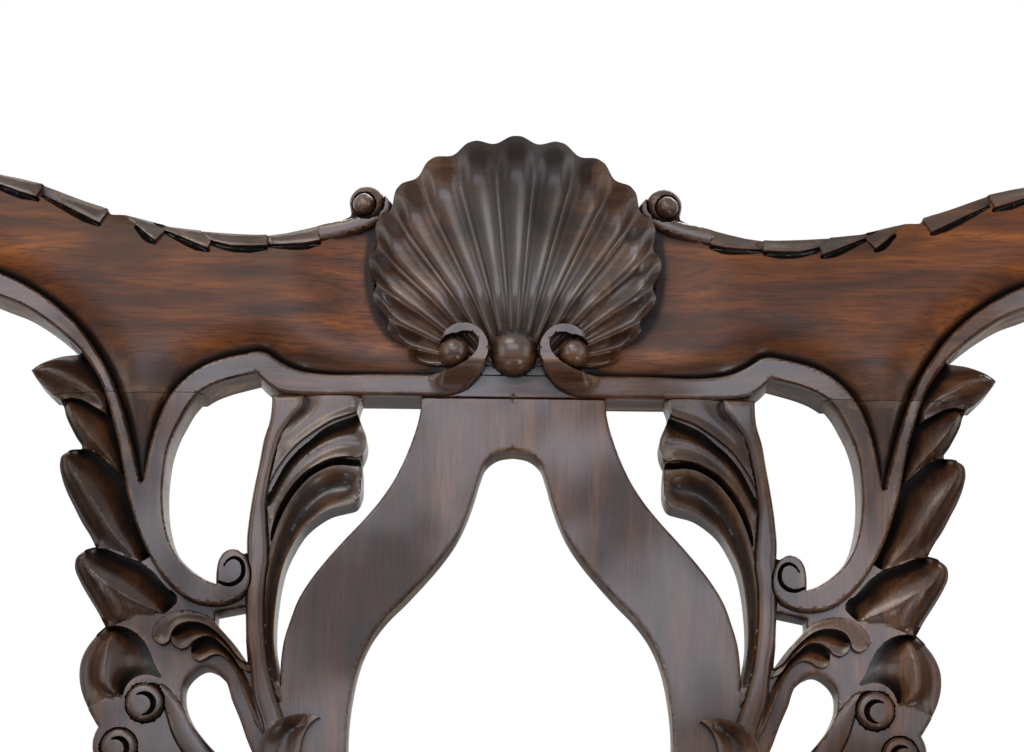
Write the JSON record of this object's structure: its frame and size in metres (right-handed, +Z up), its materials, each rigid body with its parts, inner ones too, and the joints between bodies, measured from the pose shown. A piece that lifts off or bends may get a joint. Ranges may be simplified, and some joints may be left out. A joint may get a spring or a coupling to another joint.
{
  "type": "dining chair",
  "caption": "Carved wooden dining chair with a scallop-shell crest rail, a pierced scrolling splat, cabriole front legs with ball-and-claw feet and a drop-in leather seat.",
  "frame": {"origin": "floor level under the middle of the chair's bounding box", "axes": "+Z up, +Y towards the back of the chair, +X to the right of someone facing its front"},
  "size_m": [0.5736, 0.582, 1.0013],
  "materials": {
    "mahogany": "dark polished mahogany, satin gloss",
    "beech": "plain unpolished beech",
    "screw_steel": "dull steel",
    "jute": "woven jute",
    "hessian": "coarse hessian",
    "horsehair": "matted hair",
    "seat_leather": "waxed brown leather"
  },
  "bodies": {
    "frame": {"crest_rail": "mahogany", "splat": "mahogany", "splat_shoe": "mahogany", "left_rear_post": "mahogany", "right_rear_post": "mahogany", "front_seat_rail": "mahogany", "rear_seat_rail": "mahogany", "left_seat_rail": "mahogany", "right_seat_rail": "mahogany", "left_front_leg": "mahogany", "right_front_leg": "mahogany", "left_front_knee_block": "mahogany", "right_front_knee_block": "mahogany", "left_side_knee_block": "mahogany", "right_side_knee_block": "mahogany", "left_front_corner_block": "beech", "right_front_corner_block": "beech", "left_rear_corner_block": "beech", "right_rear_corner_block": "beech", "corner_block_screws": "screw_steel"},
    "slip_seat": {"slip_front_rail": "beech", "slip_rear_rail": "beech", "slip_left_rail": "beech", "slip_right_rail": "beech", "webbing_long": "jute", "webbing_cross": "jute", "base_cloth": "hessian", "seat_stuffing": "horsehair", "seat_cover": "seat_leather"}
  },
  "joints": [
    {"name": "seat_lift", "type": "slide", "parent": "frame", "child": "slip_seat", "axis": [0, 0, 1], "range_m": [0, 0.1]}
  ]
}
